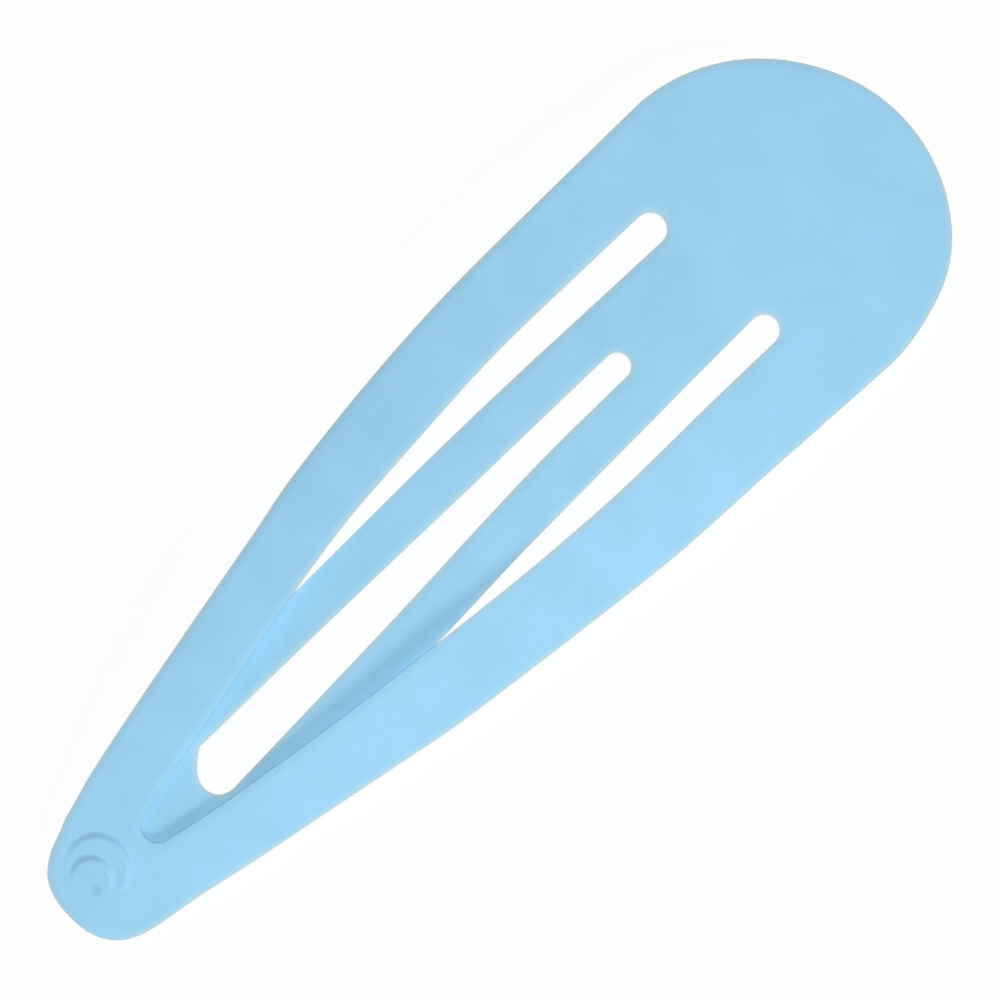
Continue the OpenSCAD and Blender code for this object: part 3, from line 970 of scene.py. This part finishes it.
# %% The enamel's gloss and surface
gloss = add_node(enamel, NOISE, {"Vector": where, "Scale": per_metre(GLOSS_CLOUD), "Detail": 3.0})
gloss = add_node(enamel, RANGE, [gloss, *GLOSS_FADE, *SATIN_ROUGHNESS])
peel = add_node(enamel, NOISE, {"Vector": where, "Scale": per_metre(ORANGE_PEEL), "Detail": 2.0})
peel = add_node(
    enamel,
    "ShaderNodeBump",
    {"Strength": 1.0, "Distance": ORANGE_PEEL_HEIGHT * MM, "Height": peel},
)
coat = add_node(
    enamel,
    "ShaderNodeBsdfPrincipled",
    {"Base Color": colour, "Roughness": gloss, "Normal": peel, "IOR": ENAMEL_IOR},
)
add_node(enamel, "ShaderNodeOutputMaterial", {"Surface": coat})
print(paint.name, "is a tree of", len(enamel.nodes), "nodes")

# %% [markdown]
# ## Press and paint every blank
#
# The four blanks now go through the press. Only the head has a tongue, so the others get a tongue root that
# lies off the clip. The result is turned into a plain mesh, because what is handed on is a mesh and not a
# recipe.

# %% Press one blank
NO_TONGUE = -CLIP_LENGTH
# Edges that turn by more than this many degrees stay sharp, which are those of the seams and under the rivet
SEAM_CORNER = 50


def press_blank(blank, root=NO_TONGUE, below=0.0):
    """Presses a blank and keeps the result as its mesh. Sizes are in millimetres."""
    sizes = {
        "Crown height": crown_height * MM,
        "Crown place": crown_place * MM,
        "Arch radius": ARCH_RADIUS * MM,
        "Tongue root": root * MM,
        "Sinking length": SINKING_LENGTH * MM,
        "Sinking": SINKING * MM,
        "Tongue length": tongue_length * MM,
        "Rising": rising * MM,
        "Sheet": SHEET * MM,
        "Below": below * MM,
        "Paint": paint,
    }
    modifier = blank.modifiers.new("press", "NODES")
    modifier.node_group = press
    for item in press.interface.items_tree:
        if item.name in sizes:
            modifier[item.identifier] = sizes[item.name]
    flat = blank.data
    evaluated = blank.evaluated_get(bpy.context.evaluated_depsgraph_get())
    solid = bpy.data.meshes.new_from_object(evaluated)
    blank.modifiers.remove(modifier)
    blank.data = solid
    bpy.data.meshes.remove(flat)
    solid.name = blank.name
    solid.shade_smooth()
    solid.set_sharp_from_angle(angle=math.radians(SEAM_CORNER))
    z = [v.co.z / MM for v in solid.vertices]
    print(blank.name, "stands from", round(min(z), 3), "to", round(max(z), 3), "mm")
    return blank


head_and_tongue = press_blank(head_blank, root=tongue_root)
side_legs = press_blank(legs_blank)
lapped_end = press_blank(lap_blank, below=SHEET + LAP_GAP)
tip_rivet = press_blank(rivet)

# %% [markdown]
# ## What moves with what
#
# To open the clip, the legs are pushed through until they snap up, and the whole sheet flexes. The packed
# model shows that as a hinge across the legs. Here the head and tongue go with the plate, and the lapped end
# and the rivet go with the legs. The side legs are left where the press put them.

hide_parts("plate")
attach(head_and_tongue, "plate")
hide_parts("legs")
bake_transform(side_legs)
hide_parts("lap")
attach(lapped_end, "legs")
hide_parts("rivet")
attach(tip_rivet, "legs")

# %% [markdown]
# ## Floor, light and camera
#
# A small pale object on white is lit like a catalogue shot: a white sweep that is itself bright, a soft box
# straight overhead, whose shadows lie hidden under the legs, and a weaker one low to one side. That one gives
# the curve of the sheet a slow change from light to dark and throws one leg's shadow on the tongue. The floor
# glows a little by itself, so that it stays white without the paint being overexposed.

# %% The floor
# Its side in metres, the strength of its glow, and the share of the light that it reflects
FLOOR_SIDE = 3.0
FLOOR_GLOW = 0.90
FLOOR_GREY = 0.08

plane = bpy.data.meshes.new("floor")
half = FLOOR_SIDE / 2
corners = [(-half, -half, 0), (half, -half, 0), (half, half, 0), (-half, half, 0)]
plane.from_pydata(corners, [], [(0, 1, 2, 3)])
floor = bpy.data.objects.new("floor", plane)
bpy.context.scene.collection.objects.link(floor)
sweep = bpy.data.materials.new("white_sweep")
sweep.use_nodes = True
sweep_tree = sweep.node_tree
sweep_tree.nodes.clear()
paper = add_node(sweep_tree, "ShaderNodeBsdfDiffuse", {"Color": (FLOOR_GREY,) * 3 + (1.0,)})
glow = add_node(sweep_tree, "ShaderNodeEmission", {"Color": WHITE, "Strength": FLOOR_GLOW})
both = add_node(sweep_tree, "ShaderNodeAddShader", [paper, glow])
add_node(sweep_tree, "ShaderNodeOutputMaterial", {"Surface": both})
plane.materials.append(sweep)
print("floor:", FLOOR_SIDE, "m square")

# %% The soft boxes
# Distance from the clip in metres
SOFT_BOX_AWAY = 2.5
# Each box: elevation in degrees, direction on the floor in degrees from the clip's axis, side in metres, and
# watts
SOFT_BOXES = {
    "soft_box_overhead": (90, 0, 0.25, 42.4),
    "soft_box_low": (35, -100, 0.9, 24.5),
}

for name, (elevation, turn, side, watts) in SOFT_BOXES.items():
    rise = math.radians(elevation)
    turn = math.radians(turn)
    towards = Vector((math.cos(turn) * math.cos(rise), math.sin(turn) * math.cos(rise), math.sin(rise)))
    lamp = bpy.data.lights.new(name, "AREA")
    lamp.size = side
    lamp.energy = watts
    soft_box = bpy.data.objects.new(name, lamp)
    soft_box.location = towards * SOFT_BOX_AWAY
    soft_box.rotation_euler = towards.to_track_quat("Z", "Y").to_euler()
    soft_box.visible_camera = False
    bpy.context.scene.collection.objects.link(soft_box)
    print(name, "at", [round(v, 2) for v in soft_box.location])

# %% The white room
# Strength of the light from everywhere, and what the horizon adds to it
WALL_LIGHT = 0.10
HORIZON_LIGHT = 0.65
# Heights in the room, as the sine of the elevation, between which the horizon fades in
HORIZON_FADE = (0.15, 0.02)

room = bpy.data.worlds.new("white_room")
room.use_nodes = True
sky = room.node_tree
sky.nodes.clear()
direction = add_node(sky, "ShaderNodeTexCoord").outputs["Generated"]
up = add_node(sky, "ShaderNodeSeparateXYZ", [direction]).outputs["Z"]
brightness = add_node(sky, RANGE, [up, *HORIZON_FADE, WALL_LIGHT, WALL_LIGHT + HORIZON_LIGHT])
shine = add_node(sky, "ShaderNodeBackground", {"Color": WHITE, "Strength": brightness})
add_node(sky, "ShaderNodeOutputWorld", {"Surface": shine})
bpy.context.scene.world = room
bpy.context.scene.view_settings.view_transform = "Standard"
print("the room is a tree of", len(sky.nodes), "nodes")

# %% The camera, straight above the clip
# Its turn in degrees, and its other sizes in millimetres. It stands so far off that hardly anything
# converges.
CAMERA_TURN = -44
VIEW_CENTRE = (0.944, -0.331)
VIEW_WIDTH = 43.316
MIDDLE_HEIGHT = 2.1
LENS = 1000.0
SENSOR = 36.0
FARTHEST_SEEN = 10000

lens = bpy.data.cameras.new("camera")
lens.lens = LENS
lens.sensor_width = SENSOR
lens.clip_end = FARTHEST_SEEN * MM
camera = bpy.data.objects.new("camera", lens)
camera_height = LENS / SENSOR * VIEW_WIDTH + MIDDLE_HEIGHT
camera.location = (VIEW_CENTRE[0] * MM, VIEW_CENTRE[1] * MM, camera_height * MM)
camera.rotation_euler = (0, 0, math.radians(CAMERA_TURN))
bpy.context.scene.collection.objects.link(camera)
bpy.context.scene.camera = camera
print("camera at", round(camera_height * MM, 3), "m")
